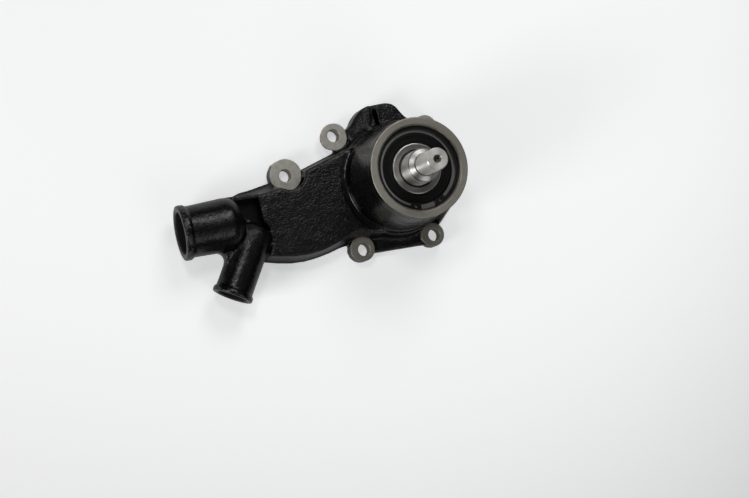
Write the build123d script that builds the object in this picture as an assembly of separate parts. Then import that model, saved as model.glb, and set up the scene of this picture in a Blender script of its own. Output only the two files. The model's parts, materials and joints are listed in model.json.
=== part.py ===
from build123d import *
import math
import os

# Belt-driven engine water pump, in millimetres.
# +Z runs along the shaft towards the pulley end. The origin is on the shaft axis
# at the machined rear joint face, and -X points towards the two hose spigots.

# ---- fits and clearances ----
fit_gap = 0.02          # seated pieces inside one body
running_gap = 0.08      # rolling and rubbing pieces
ball_gap = 0.06         # ball to raceway
axial_gap = 0.05        # faces that turn against each other

# ---- barrel and bearing housing ----
nose_radius = 37.0
barrel_draft = 3.0      # degrees
base_step_height = 20.5
base_wall_radius = 42.6
base_wall_draft = 0.8   # how much wider the base wall is at its foot
bore_chamfer = 1.2
flange_round = 1.5
base_fillet = 2.5
base_round = 1.2
barrel_fillet = 0.9
nose_round = 0.6

# ---- bearings (two alike, 25 x 62 x 17) ----
bearing_bore = 25.0
bearing_outer = 62.0
bearing_width = 17.0
ball_share = 0.653      # ball diameter as a share of the bearing's width
ball_count = 7
inner_ring_wall = 6.2   # bore to shoulder
outer_ring_wall = 5.2
ring_chamfer = 1.0
bearing_recess = 5.7    # front ring face to front bearing
bearing_spacing = 6.0   # distance piece between the inner rings
spacer_step = 2.3       # the distance piece is this much below the rings' shoulders
shield_inset = 0.5
shield_thickness = 1.0
shield_seat = 1.3       # how deep the shield edge enters the outer ring
shield_rib = 0.3
shield_rib_outer = 1.4  # below the outer ring's shoulder
shield_rib_width = 1.2
cage_wall = 2.6
cage_side_gap = 0.25    # cage to seal disc
pocket_gap = 0.2

# ---- circlip ----
circlip_thickness = 2.0
circlip_groove_depth = 1.5
circlip_width = 4.0
lug_length = 5.2
lug_width = 8.0
lug_hole = 2.5
lug_half_angle = 20.0
circlip_gap_angle = -86.0

# ---- shaft ----
shaft_nose_length = 10.5    # bearing journal beyond the front ring face
shaft_total_front = 41.5    # shaft end beyond the front ring face
seat_diameter = 15.9        # pulley seat, 5/8 inch
seat_root_diameter = 17.2
undercut_diameter = 15.2
undercut_width = 0.8
shoulder_cone = 1.9
shoulder_edge = 0.85        # chamfer at the end of the journal
end_chamfer = 0.7
centre_drill = 3.2
centre_depth = 5.0
tail_diameter = 15.9        # seal and impeller journal
collar_diameter = 31.0
collar_width = 3.0

# ---- impeller and its chamber ----
chamber_radius = 40.5
chamber_depth = 9.4
shroud_wall = 2.6
eye_radius = 29.0
impeller_gap = 2.5          # impeller edge to chamber wall
impeller_back = 1.0         # joint face to the impeller's rear face
impeller_disc = 2.4
vane_clearance = 0.8
vane_count = 6
vane_thickness = 3.6
vane_sweep = 38.0           # degrees turned between root and tip
vane_root_radius = 21.5
vane_tip_gap = 0.8          # vane tip inside the impeller's edge
hub_radius = 18.5
hub_fillet = 1.2
vane_sink = 0.5             # how far the vanes are rooted in the disc

# ---- mechanical seal ----
seal_bore = 36.5
seal_length = 11.4          # working height of the seal in its pocket
seal_hub_wall = 4.0
seal_pocket_mouth = 10.6
seal_case_wall = 1.0
seal_case_flange = 1.0
seal_flange_radius = 20.6
seat_radius = 14.0
seat_thickness = 4.0
seat_cup_wall = 1.5
seat_proud = 1.2            # ceramic face above the impeller hub
seal_shaft_gap = 0.8
carbon_radius = 12.4
carbon_length = 4.4
carbon_step = 1.2           # the rubbing nose is narrower than the carbon's body
bellows_wall = 1.3
spring_wire = 1.5
spring_turns = 3.0
cup_recess = 0.2            # rubber cup below the impeller hub's face

# ---- drain chamber and slinger ----
seal_web = 3.6
drain_depth = 6.2
drain_radius = 22.0
slinger_radius = 19.0
slinger_thickness = 1.6
slinger_hub = 2.5
weep_diameter = 6.0
weep_angle = 35.0

# ---- joint flange and ears ----
flange_thickness = 7.5
flange_radius = 50.0
ear_height = 9.5
ear_hole = 9.5
ears = {                    # hole x, hole y, pad radius, pad offset x, pad offset y, radius at the foot
    "far": (-81.9, 18.7, 12.3, 0.4, 0.2, 12.6),
    "upper_left": (-38.7, 41.7, 10.5, 0.2, -1.0, 8.6),
    "lower_left": (-33.9, -47.4, 9.6, -1.0, 0.9, 9.9),
    "lower_right": (23.3, -46.9, 9.2, -1.2, 0.5, 9.5),
    "upper_right": (34.6, 35.7, 9.4, 0.0, 0.0, 9.4),
}
joint_ears = ("upper_left", "lower_left", "lower_right", "upper_right")
ear_peak = [(-9.8, 9.7), (1.6, 12.9), (9.6, 8.4), (0.0, 0.0)]    # blunt point of the far ear, from its hole
ear_peak_round = 0.6
far_web = [(-9.8, 2.0), (11.1, 2.0), (18.5, -6.7), (-18.5, -13.7)]     # web behind the far ear, likewise
far_web_height = 5.5
bridge_edge = [(-33.9, -51.0), (23.3, -53.1)]                    # lower edge of the flange

# ---- gasket ----
gasket_thickness = 0.8
gasket_width = 8.0
gasket_ear_radius = 8.0
gasket_neck_width = 13.6
gasket_hole = 9.8

# ---- inlet passage ----
passage_height = 22.5
passage_floor = 1.0         # underside of the passage above the joint face
casting_wall = 4.5
rim_height = 2.6
rim_width = 1.0
passage_crown = [           # front face of the passage
    (-24.0, 31.0), (-74.0, 17.4), (-90.0, 9.2), (-98.0, 7.9), (-108.9, 7.0), (-109.4, -12.0),
    (-104.8, -19.0), (-104.2, -27.0), (-106.6, -33.0), (-109.8, -38.8), (-99.8, -41.0), (-89.6, -42.9),
    (-79.3, -43.4), (-69.5, -42.5), (-60.4, -40.4), (-50.0, -36.8), (-41.1, -33.4), (-36.0, -33.0),
    (-30.4, -35.4), (-20.0, -38.4), (-14.0, -30.0),
]
passage_foot = [            # the same corners at the parting line
    (-24.0, 33.2), (-73.3, 18.9), (-89.0, 15.6), (-98.0, 14.6), (-110.2, 12.6), (-110.8, -12.0),
    (-109.0, -20.0), (-108.6, -27.0), (-109.4, -33.0), (-110.6, -40.6), (-100.5, -43.4), (-90.0, -45.5),
    (-79.5, -46.2), (-69.5, -45.4), (-60.0, -43.8), (-50.3, -41.4), (-43.0, -40.6), (-36.0, -40.2),
    (-30.6, -40.8), (-20.0, -41.6), (-14.0, -31.0),
]
passage_rounding = 1.5
suction_reach = [(-45.0, 24.0), (-45.0, -31.0), (0.0, -31.0), (0.0, 24.0)]     # into the ring round the seal

# ---- hose spigots ----
main_y = -10.0
main_z = 21.5
main_outer = 38.0
main_bore = 30.0
main_mouth = -171.5
main_end = -125.0
main_dome = 12.0
main_draft = 2.0            # degrees, the spigot widens towards its root
main_bead = 41.0
main_bead_width = 5.0
bypass_outer = 27.8
bypass_bore = 21.0
bypass_z = 17.2
bypass_mouth = (-142.7, -62.5)
bypass_length = 55.5
bypass_angle = 58.0         # degrees from +X to the inward direction
bypass_dome = 7.0
bypass_bead = 30.6
bypass_bead_width = 3.6
mouth_chamfer = 1.6
bead_round = 1.0
crotch_radius = 5.5         # rounded corner between the spigots
crotch_thickness = 12.0

# ---- junction between spigots and passage ----
junction_height = 13.5
junction_crown = [(-131.0, 6.4), (-122.0, 8.6), (-104.0, 8.6), (-104.0, -36.0), (-114.0, -36.0),
                  (-131.0, -28.0)]
junction_foot = [(-133.0, 7.4), (-118.0, 12.0), (-104.0, 13.2), (-104.0, -38.5), (-115.0, -38.5),
                 (-133.0, -30.0)]
junction_wall = 3.6
bank = [(-133.0, 10.0), (-108.5, 8.2), (-108.5, 4.8), (-133.0, 6.4)]    # side wall from the main spigot on
bank_height = 21.5
ridge = [(-126.0, -5.5), (-110.6, -17.0), (-103.5, -27.0)]              # thin wall over the bypass spigot's end
ridge_width = 2.4
ridge_height = 22.0
way_link = [(-116.0, 2.0), (-116.0, -31.0), (-100.0, -34.0), (-100.0, 3.0)]    # junction into the passage
drop_width = 12.0           # slot from the main bore down into the junction
drop_end = -112.0
drop_sink = 0.3             # how far the slot's floor lies below the bore

# ---- lobe between the upper ears ----
lobe_height = 9.0
lobe_crown_height = 19.5
lobe_rib_height = 17.0
lobe_rib_width = 2.4
lobe_wall = 3.6
lobe_outline = [(-31.5, 38.0), (-29.6, 43.0), (-24.0, 47.6), (-20.5, 52.6), (-15.5, 56.8), (-8.5, 59.2),
                (-1.9, 59.7), (7.7, 59.8), (12.2, 58.6), (15.6, 55.7), (18.0, 51.4), (20.5, 47.3),
                (24.5, 43.8), (20.0, 34.0), (-24.0, 34.0)]
lobe_crown = [(-31.5, 38.0), (-29.6, 43.0), (-24.0, 47.6), (-20.5, 52.6), (-15.5, 56.8), (-9.5, 58.7),
              (-6.7, 58.4), (-10.6, 40.8), (-12.4, 36.0), (-24.0, 34.0)]
lobe_rounding = 1.2
lobe_lip = 1.0              # the crown's slope starts this much below the plate
lobe_ramp = (-34.0, -14.0)  # where the sloping face of the crown starts and ends
lobe_rib = [(-2.8, 56.6), (-1.0, 36.0)]

# ---- gusset beside the lower right ear ----
gusset_angle = -49.0
gusset_thickness = 7.0
gusset_foot_radius = 48.5
gusset_root = 4.0           # how far the rib is rooted in the barrel
gusset_low = 2.0
gusset_step = 2.0           # above the ear's pad
gusset_drop = 6.5           # below the front ring face


# ---- derived places along the shaft, stacked from the joint face ----
seal_floor = seal_pocket_mouth + seal_length
drain_floor = seal_floor + seal_web
rear_bearing_z = drain_floor + drain_depth
front_bearing_z = rear_bearing_z + bearing_width + bearing_spacing
circlip_z = front_bearing_z + bearing_width
nose_height = circlip_z + bearing_recess    # front ring face
suction_roof = passage_height - casting_wall

# ---- derived bearing sizes ----
ball_diameter = ball_share * bearing_width
inner_land = bearing_bore + 2 * inner_ring_wall     # shoulder diameters
outer_land = bearing_outer - 2 * outer_ring_wall
bearing_mid_radius = (inner_land + outer_land) / 4.0
bore_radius = bearing_outer / 2.0
journal_radius = bearing_bore / 2.0
impeller_radius = chamber_radius - impeller_gap
hub_front = chamber_depth - vane_clearance / 2.0
seat_front = hub_front + seat_proud
seat_back = seat_front - seat_thickness
carbon_back = seat_front + axial_gap
barrel_foot_radius = nose_radius + (nose_height - base_step_height) * math.tan(math.radians(barrel_draft))
bypass_axis = (math.cos(math.radians(bypass_angle)), math.sin(math.radians(bypass_angle)))

upright = (Align.CENTER, Align.CENTER, Align.MIN)


def turned(points, rounds=()):
    """Solid of revolution about Z from (radius, height) corners, some of them rounded."""
    face = make_face(Polyline(*points, close=True))
    for corner, radius in rounds:
        nearest = face.vertices().sort_by_distance((*points[corner], 0))[0]
        face = fillet(nearest, radius)
    return revolve(Plane.XZ * face, Axis.Z)


def tube(outer, inner, low, high):
    """Plain ring about Z."""
    return turned([(inner, low), (outer, low), (outer, high), (inner, high)])


def disc(radius, low, high, at=(0, 0)):
    """Upright cylinder between two heights."""
    return Pos(at[0], at[1], low) * Cylinder(radius, high - low, align=upright)


def outline_face(outline, grow=0.0, rounding=0.0):
    """Flat face of a closed outline, which can be grown or shrunk all round and its corners rounded."""
    face = make_face(Polyline(*outline, close=True))
    if grow:
        face = offset(face, grow, kind=Kind.INTERSECTION)
    if rounding:
        face = fillet(face.vertices(), rounding)
    return face


def tapered_block(foot, crown, low, high, rounding=0.0):
    """Straight-sided block between two outlines with matching corners."""
    return loft([Pos(0, 0, low) * outline_face(foot, 0, rounding),
                 Pos(0, 0, high) * outline_face(crown, 0, rounding)], ruled=True)


def prism(outline, low, high, grow=0.0, rounding=0.0):
    """Upright block of one outline, which can be grown or shrunk all round."""
    return Pos(0, 0, low) * extrude(outline_face(outline, grow, rounding), high - low, dir=(0, 0, 1))


def bar(start, end, width, low, high):
    """Upright wall of even width between two places."""
    (x1, y1), (x2, y2) = start, end
    turn = math.degrees(math.atan2(y2 - y1, x2 - x1))
    wall = Box(math.hypot(x2 - x1, y2 - y1), width, high - low, align=upright)
    return Pos((x1 + x2) / 2, (y1 + y2) / 2, low) * Rot(0, 0, turn) * wall


def spigot_shape(length, radius, bead_radius, bead_width, dome, draft=0.0):
    """Hose spigot about Z, mouth at z = 0 with its retaining bead, rounded inner end."""
    bead_end = bead_width + bead_radius - radius
    root = radius + (length - bead_end) * math.tan(math.radians(draft))
    points = [(0, 0), (bead_radius, 0), (bead_radius, bead_width), (radius, bead_end), (root, length), (0, length)]
    return turned(points, [(1, bead_round), (2, bead_round), (4, dome)])


def spigot_bore(length, radius):
    """Bore of a spigot about Z with its opened mouth and rounded blind end."""
    flare = radius + mouth_chamfer
    points = [(0, 0), (flare, 0), (radius, mouth_chamfer), (radius, length), (0, length)]
    return turned(points, [(3, radius * 0.6)])


main_frame = Plane(origin=(main_mouth, main_y, main_z), x_dir=(0, 1, 0), z_dir=(1, 0, 0))
bypass_frame = Plane(origin=(*bypass_mouth, bypass_z), x_dir=(0, 0, 1), z_dir=(*bypass_axis, 0))


def barrel_outer():
    points = [
        (0, 0), (flange_radius, 0), (flange_radius, flange_thickness),
        (base_wall_radius + base_wall_draft, flange_thickness),
        (base_wall_radius, base_step_height), (barrel_foot_radius, base_step_height),
        (nose_radius, nose_height), (0, nose_height),
    ]
    return turned(points, [(2, flange_round), (3, base_fillet), (4, base_round), (5, barrel_fillet),
                           (6, nose_round)])


def pad_centre(name):
    x, y, _, dx, dy, _ = ears[name]
    return x + dx, y + dy


def ear_body(name):
    """One ear: a round boss, tied to the joint flange."""
    x, y, pad, _, _, foot_radius = ears[name]
    foot = -gasket_thickness if name == "far" else 0.0
    side = [(0, foot), (foot_radius, foot), (pad, ear_height), (0, ear_height)]
    boss = Pos(*pad_centre(name), 0) * turned(side)
    if name == "far":
        return boss + Pos(x, y, 0) * prism(ear_peak, passage_floor, ear_height, 0, ear_peak_round)
    reach = math.hypot(x, y)
    turn = math.degrees(math.atan2(y, x))
    web = Box(reach, 1.4 * pad, flange_thickness, align=upright)
    return boss + Rot(0, 0, turn) * Pos(reach / 2, 0, 0) * web


def flange_bridge():
    """Straight lower edge of the flange between the two lower ears."""
    (x1, y1), (x2, y2) = bridge_edge
    return prism([(x1, y1), (x2, y2), (x2, 0), (x1, 0)], 0, flange_thickness)


def far_ear_web():
    """Web that ties the far ear to the passage wall."""
    x, y = ears["far"][:2]
    return Pos(x, y, 0) * prism(far_web, passage_floor, far_web_height)


def lobe():
    """Lobe with a sloping crown and a thin rib beside it."""
    plate = prism(lobe_outline, 0, lobe_height, 0, lobe_rounding)
    start, end = lobe_ramp
    side = make_face(Polyline((start, 0), (start, lobe_height - lobe_lip), (end, lobe_crown_height),
                              (0, lobe_crown_height), (0, 0), close=True))
    slope = extrude(Plane.XZ * side, 2 * flange_radius, both=True)
    crown = prism(lobe_crown, 0, lobe_crown_height, 0, lobe_rounding) & slope
    return plate + crown + bar(*lobe_rib, lobe_rib_width, 0, lobe_rib_height)


def lobe_pocket():
    """Cored pocket behind the lobe."""
    pocket = prism(lobe_outline, 0, lobe_height - lobe_wall, grow=-lobe_wall)
    return pocket - disc(flange_radius, 0, nose_height)


def gusset():
    """Sloping rib from the nose of the barrel down to the lower right ear."""
    root = nose_radius - gusset_root
    top = nose_height - gusset_drop
    profile = make_face(Polyline((root, gusset_low), (gusset_foot_radius, gusset_low),
                                 (gusset_foot_radius, ear_height + gusset_step),
                                 (nose_radius, top), (root, top), close=True))
    rib = extrude(Plane.XZ * profile, gusset_thickness / 2, both=True)
    return Rot(0, 0, gusset_angle) * rib


def spigot_crotch():
    """Web that rounds out the corner between the two spigots."""
    cos_b, sin_b = bypass_axis
    half = bypass_outer / 2
    side = (bypass_mouth[0] - sin_b * half, bypass_mouth[1] + cos_b * half)
    wall_y = main_y - main_outer / 2
    run = (wall_y - side[1]) / sin_b
    corner = (side[0] + cos_b * run, wall_y)
    reach = crotch_radius / math.tan(math.radians(bypass_angle) / 2)
    depth = crotch_radius / math.sin(math.radians(bypass_angle) / 2) - crotch_radius
    bisector = math.radians(180 + bypass_angle / 2)
    start = (corner[0] - reach, corner[1])
    middle = (corner[0] + depth * math.cos(bisector), corner[1] + depth * math.sin(bisector))
    end = (corner[0] - cos_b * reach, corner[1] - sin_b * reach)
    inside = (corner[0] + half * 0.7, corner[1] + half * 0.4)
    edge = ThreePointArc(start, middle, end) + Polyline(end, (end[0] + half * 0.7, end[1]), inside,
                                                        (start[0], start[1] + half * 0.7), start)
    web = extrude(make_face(edge), crotch_thickness, dir=(0, 0, 1))
    return Pos(0, 0, (main_z + bypass_z - crotch_thickness) / 2) * web


def junction_walls():
    """Two walls that close off the hollow between the spigots and the passage."""
    walls = prism(bank, passage_floor, bank_height)
    for start, end in zip(ridge, ridge[1:]):
        walls += bar(start, end, ridge_width, passage_floor, ridge_height)
        walls += disc(ridge_width / 2, passage_floor, ridge_height, at=start)
    return walls


def passage_inner():
    """Water way from the spigots to the impeller eye."""
    passage = prism(passage_crown, passage_floor + casting_wall, suction_roof, grow=-casting_wall)
    reach = prism(suction_reach, chamber_depth + shroud_wall, suction_roof)
    junction = prism(junction_crown, passage_floor + junction_wall, junction_height - junction_wall,
                     grow=-junction_wall)
    link = prism(way_link, passage_floor + casting_wall, junction_height - junction_wall)
    start = main_end - main_bore / 2
    low_y, high_y = main_y - drop_width / 2, main_y + drop_width / 2
    drop = prism([(start, high_y), (start, low_y), (drop_end, low_y), (drop_end, high_y)],
                 main_z - main_bore / 2 - drop_sink, junction_height - junction_wall)
    way = passage + reach + junction + link + drop
    way -= disc(chamber_radius + casting_wall, 0, chamber_depth + shroud_wall)
    return way


def suction_ring():
    """Ring-shaped space around the seal housing, and the impeller eye."""
    hub = seal_bore / 2 + seal_hub_wall
    outer = base_wall_radius - casting_wall
    upper = turned([(hub, chamber_depth + shroud_wall), (outer, chamber_depth + shroud_wall),
                    (outer, suction_roof), (hub, suction_roof)])
    return upper + tube(eye_radius, hub, seal_pocket_mouth, chamber_depth + shroud_wall + 1)


def bearing_housing_bores():
    bores = disc(bore_radius + fit_gap, rear_bearing_z, nose_height)
    bores += turned([(0, nose_height - bore_chamfer), (bore_radius, nose_height - bore_chamfer),
                     (bore_radius + bore_chamfer, nose_height), (0, nose_height)])
    groove_top = circlip_z + circlip_thickness + fit_gap * 2
    bores += tube(bore_radius + circlip_groove_depth, bore_radius - 1, circlip_z, groove_top)
    bores += disc(drain_radius, drain_floor, rear_bearing_z)
    bores += disc(tail_diameter / 2 + seal_shaft_gap * 1.5, seal_floor - 1, drain_floor)
    bores += disc(seal_bore / 2 + fit_gap, seal_pocket_mouth - 2, seal_floor)
    bores += disc(chamber_radius, 0, chamber_depth)
    bores += disc(eye_radius, chamber_depth - 0.5, seal_pocket_mouth)
    return bores


def pump_body():
    outer = barrel_outer() + flange_bridge() + lobe() + gusset()
    for name in ears:
        outer += ear_body(name)
    outer += far_ear_web()
    passage = tapered_block(passage_foot, passage_crown, passage_floor, passage_height, passage_rounding)
    outer += passage + prism(passage_foot, passage_floor, passage_floor + rim_height, grow=rim_width)
    outer += tapered_block(junction_foot, junction_crown, passage_floor, junction_height)
    outer += prism(junction_foot, passage_floor, passage_floor + rim_height, grow=rim_width)
    outer += main_frame * spigot_shape(main_end - main_mouth, main_outer / 2, main_bead / 2,
                                       main_bead_width, main_dome, main_draft)
    outer += bypass_frame * spigot_shape(bypass_length, bypass_outer / 2, bypass_bead / 2,
                                         bypass_bead_width, bypass_dome)
    outer += spigot_crotch() + junction_walls()

    for name, (x, y, pad, *_) in ears.items():
        outer -= disc(pad, ear_height, 2 * passage_height, at=pad_centre(name))
        outer -= disc(ear_hole / 2, -ear_height, 2 * ear_height, at=(x, y))

    hollow = bearing_housing_bores() + suction_ring() + passage_inner()
    hollow -= tube(seal_bore / 2 + seal_hub_wall, seal_bore / 2 + fit_gap, seal_pocket_mouth, suction_roof)
    hollow += main_frame * spigot_bore(main_end - main_mouth - casting_wall, main_bore / 2)
    hollow += bypass_frame * spigot_bore(bypass_length - casting_wall, bypass_bore / 2)
    weep = Cylinder(weep_diameter / 2, flange_radius, align=upright)
    hollow += Rot(0, 0, weep_angle) * Pos(0, 0, (drain_floor + rear_bearing_z) / 2) * Rot(0, 90, 0) * weep
    return outer - hollow - lobe_pocket()


def shaft():
    """Stepped shaft: impeller journal, collar, bearing journal and pulley seat."""
    tail_start = impeller_back
    tail = tail_diameter / 2
    collar_z = rear_bearing_z - collar_width
    nose_z = nose_height + shaft_nose_length
    cone_z = nose_z + shoulder_edge
    seat_z = cone_z + shoulder_cone
    groove_z = seat_z + undercut_width
    end_z = nose_height + shaft_total_front
    seat = seat_diameter / 2
    points = [
        (0, tail_start), (tail - end_chamfer, tail_start), (tail, tail_start + end_chamfer),
        (tail, collar_z), (collar_diameter / 2, collar_z), (collar_diameter / 2, rear_bearing_z),
        (journal_radius, rear_bearing_z),
        (journal_radius, nose_z), (journal_radius - shoulder_edge, cone_z),
        (seat_root_diameter / 2, seat_z), (seat_root_diameter / 2, groove_z),
        (undercut_diameter / 2, groove_z), (undercut_diameter / 2, groove_z + undercut_width),
        (seat, groove_z + undercut_width), (seat, end_z - end_chamfer), (seat - end_chamfer, end_z),
        (0, end_z),
    ]
    body = turned(points)
    drill = centre_drill / 2
    tip_z = end_z - centre_depth
    centre = [(0, tip_z), (drill, tip_z + drill), (drill, end_z - drill), (drill * 2, end_z), (0, end_z)]
    return body - turned(centre)


def race_cut(radius, low):
    """Torus that the balls run in."""
    groove = ball_diameter / 2 + ball_gap
    circle = Pos(radius, low + bearing_width / 2) * Circle(groove)
    return revolve(Plane.XZ * circle, Axis.Z)


def inner_ring(low):
    high = low + bearing_width
    bore, land, c = journal_radius + fit_gap, inner_land / 2, ring_chamfer
    points = [(bore + c, low), (land - c / 2, low), (land, low + c / 2), (land, high - c / 2),
              (land - c / 2, high), (bore + c, high), (bore, high - c), (bore, low + c)]
    return turned(points) - race_cut(bearing_mid_radius, low)


def outer_ring(low):
    high = low + bearing_width
    land, rim, c = outer_land / 2, bore_radius, ring_chamfer
    points = [(land, low), (rim - c, low), (rim, low + c), (rim, high - c), (rim - c, high), (land, high)]
    ring = turned(points) - race_cut(bearing_mid_radius, low)
    for side in shield_levels(low):
        ring -= tube(land + shield_seat, land - 1, side, side + shield_thickness)
    return ring - tube(land + shield_seat * 0.6, land - 1, low, low + shield_inset) - tube(
        land + shield_seat * 0.6, land - 1, high - shield_inset, high)


def shield_levels(low):
    return low + shield_inset, low + bearing_width - shield_inset - shield_thickness


def bearing_shield(low, front):
    """Rubber seal disc, held in the outer ring with its lip close to the inner ring."""
    level = shield_levels(low)[1 if front else 0]
    top = level + shield_thickness
    lip = inner_land / 2 + running_gap
    plate = tube(outer_land / 2 + shield_seat - fit_gap, lip, level + fit_gap, top - fit_gap)
    outward = top - fit_gap if front else level + fit_gap
    rib_radius = outer_land / 2 - shield_rib_outer
    rib_low = level + fit_gap if front else outward - shield_rib
    rib_high = outward + shield_rib if front else top - fit_gap
    return plate + tube(rib_radius, rib_radius - shield_rib_width, rib_low, rib_high)


def ball_places(low):
    return [Rot(0, 0, 360 / ball_count * i) * Pos(bearing_mid_radius, 0, low + bearing_width / 2)
            for i in range(ball_count)]


def balls(low):
    return Compound([place * Solid.make_sphere(ball_diameter / 2) for place in ball_places(low)])


def ball_cage(low):
    half = bearing_width / 2 - shield_inset - shield_thickness - cage_side_gap
    middle = low + bearing_width / 2
    outer, inner = bearing_mid_radius + cage_wall / 2, bearing_mid_radius - cage_wall / 2
    cage = tube(outer, inner, middle - half, middle + half)
    for place in ball_places(low):
        cage -= place * Rot(0, 90, 0) * Cylinder(ball_diameter / 2 + pocket_gap, cage_wall * 3)
    return cage


def spacer():
    low = rear_bearing_z + bearing_width
    return tube(inner_land / 2 - spacer_step, journal_radius + fit_gap, low, front_bearing_z)


def circlip():
    """Internal retaining ring with two holed lugs either side of its gap."""
    low, high = circlip_z + fit_gap, circlip_z + fit_gap + circlip_thickness
    outer = bore_radius + circlip_groove_depth - fit_gap * 4
    inner = bore_radius + circlip_groove_depth - circlip_width
    ring = tube(outer, inner, low, high)
    lug_reach = bore_radius - lug_length
    lug_places = []
    for side in (-1, 1):
        turn = circlip_gap_angle + side * lug_half_angle
        lug_end = (outer + inner) / 2
        lug = Box(lug_end - lug_reach, lug_width, circlip_thickness, align=upright)
        ring += Rot(0, 0, turn) * Pos((lug_reach + lug_end) / 2, 0, low) * lug
        lug_places.append(Rot(0, 0, turn) * Pos(lug_reach + lug_hole * 0.95, 0, low))
    gap_half = lug_half_angle - math.degrees(lug_width / 2 / (bore_radius - lug_length / 2))
    edge = [(1.5 * bore_radius * math.cos(math.radians(circlip_gap_angle + a)),
             1.5 * bore_radius * math.sin(math.radians(circlip_gap_angle + a)))
            for a in (-gap_half, gap_half)]
    ring -= prism([(0, 0), edge[0], edge[1]], low - 1, high + 1)
    for place in lug_places:
        ring -= place * Cylinder(lug_hole / 2, circlip_thickness * 3)
    return ring


def slinger():
    bore = tail_diameter / 2 + fit_gap
    middle = (drain_floor + rear_bearing_z - collar_width) / 2
    low = middle - slinger_thickness / 2
    return tube(slinger_radius, bore, low, low + slinger_thickness) + tube(
        bore + slinger_hub, bore, low, rear_bearing_z - collar_width)


def seal_case():
    """Pressed cup that carries the stationary half of the seal."""
    rim = seal_bore / 2
    wall = rim - seal_case_wall
    mouth = seal_pocket_mouth
    bottom = seal_floor
    hole = tail_diameter / 2 + seal_shaft_gap * 2
    points = [(hole, bottom), (rim, bottom), (rim, mouth), (seal_flange_radius, mouth),
              (seal_flange_radius, mouth - seal_case_flange * 0.6), (wall, mouth - seal_case_flange * 0.6),
              (wall, bottom - seal_case_wall), (hole, bottom - seal_case_wall)]
    return turned(points)


def carbon_ring():
    bore = tail_diameter / 2 + seal_shaft_gap
    step = carbon_back + carbon_length * 0.45
    nose = carbon_radius - carbon_step
    return turned([(bore, carbon_back), (nose, carbon_back), (nose, step), (carbon_radius, step),
                   (carbon_radius, carbon_back + carbon_length), (bore, carbon_back + carbon_length)])


def seal_bellows():
    """Rubber sleeve that grips the carbon ring and seats in the bottom of the case."""
    grip = carbon_radius + fit_gap
    outer = grip + bellows_wall
    bore = tail_diameter / 2 + seal_shaft_gap * 2
    back = carbon_back + carbon_length + fit_gap
    front = carbon_back + carbon_length * 0.45 + fit_gap
    bottom = seal_floor - seal_case_wall - fit_gap
    base = seal_bore / 2 - seal_case_wall - fit_gap
    points = [(grip, front), (outer, front), (outer, bottom - bellows_wall), (base, bottom - bellows_wall),
              (base, bottom), (bore, bottom), (bore, back), (grip, back)]
    return turned(points)


def seal_spring():
    """Coil spring round the bellows."""
    inside = carbon_radius + bellows_wall
    mean = (inside + seal_bore / 2 - seal_case_wall) / 2
    low = carbon_back + carbon_length * 0.45 + spring_wire / 2 + fit_gap
    bottom = seal_floor - seal_case_wall - bellows_wall
    height = bottom - low - spring_wire / 2 - fit_gap * 2
    path = Pos(0, 0, low) * Helix(height / spring_turns, height, mean)
    start = path.position_at(0)
    section = Plane(origin=start, z_dir=path.tangent_at(0)) * Circle(spring_wire / 2)
    return sweep(section, path=path, is_frenet=True)


def seat_cup():
    """Rubber cup between the ceramic seat and the impeller hub."""
    outer = seat_radius + seat_cup_wall - fit_gap
    bore = tail_diameter / 2 + fit_gap * 2
    floor = seat_back - seat_cup_wall
    edge = hub_front - cup_recess
    return turned([(bore, floor), (outer, floor), (outer, edge), (seat_radius + fit_gap, edge),
                   (seat_radius + fit_gap, seat_back), (bore, seat_back)])


def seal_seat():
    return tube(seat_radius, tail_diameter / 2 + seal_shaft_gap / 2, seat_back, seat_front)


def impeller():
    bore = tail_diameter / 2 + fit_gap
    disc_front = impeller_back + impeller_disc
    vane_front = chamber_depth - vane_clearance
    cup = seat_radius + seat_cup_wall
    cup_floor = seat_back - seat_cup_wall
    points = [(bore, impeller_back), (impeller_radius, impeller_back), (impeller_radius, disc_front),
              (hub_radius + hub_fillet, disc_front), (hub_radius, disc_front + hub_fillet),
              (hub_radius, hub_front),
              (cup, hub_front), (cup, cup_floor), (bore, cup_floor)]
    wheel = turned(points)
    tip = impeller_radius - vane_tip_gap
    mid = (vane_root_radius + tip) / 2
    stations = ((vane_root_radius, 0), (mid, -vane_sweep * 0.55), (tip, -vane_sweep))
    spine = ThreePointArc(*[(r * math.cos(math.radians(a)), r * math.sin(math.radians(a)))
                            for r, a in stations])
    blade_face = make_face(Polyline(*offset_outline(spine, vane_thickness / 2), close=True))
    blade = Pos(0, 0, disc_front - vane_sink) * extrude(blade_face, vane_front - disc_front + vane_sink)
    for i in range(vane_count):
        wheel += Rot(0, 0, 360 / vane_count * i) * blade
    return wheel


def offset_outline(spine, half):
    """Closed outline of a curved blade: both sides of its spine."""
    steps = [i / 8 for i in range(9)]
    left, right = [], []
    for t in steps:
        p, d = spine.position_at(t), spine.tangent_at(t)
        left.append((p.X - d.Y * half, p.Y + d.X * half))
        right.append((p.X + d.Y * half, p.Y - d.X * half))
    return left + right[::-1]


def rear_gasket():
    sheet = tube(chamber_radius + gasket_width, chamber_radius, -gasket_thickness, 0)
    for name in joint_ears:
        x, y = ears[name][:2]
        reach = math.hypot(x, y)
        turn = math.degrees(math.atan2(y, x))
        sheet += disc(gasket_ear_radius, -gasket_thickness, 0, at=(x, y))
        start = chamber_radius + gasket_width / 2
        sheet += Rot(0, 0, turn) * Pos((start + reach) / 2, 0, -gasket_thickness / 2) * Box(
            reach - start, gasket_neck_width, gasket_thickness)
    for name in joint_ears:
        x, y = ears[name][:2]
        sheet -= disc(gasket_hole / 2, -2 * gasket_thickness, gasket_thickness, at=(x, y))
    return sheet


def write(name, shape):
    shape.label = name
    export_step(shape, f"parts/{name}.step")


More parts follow.
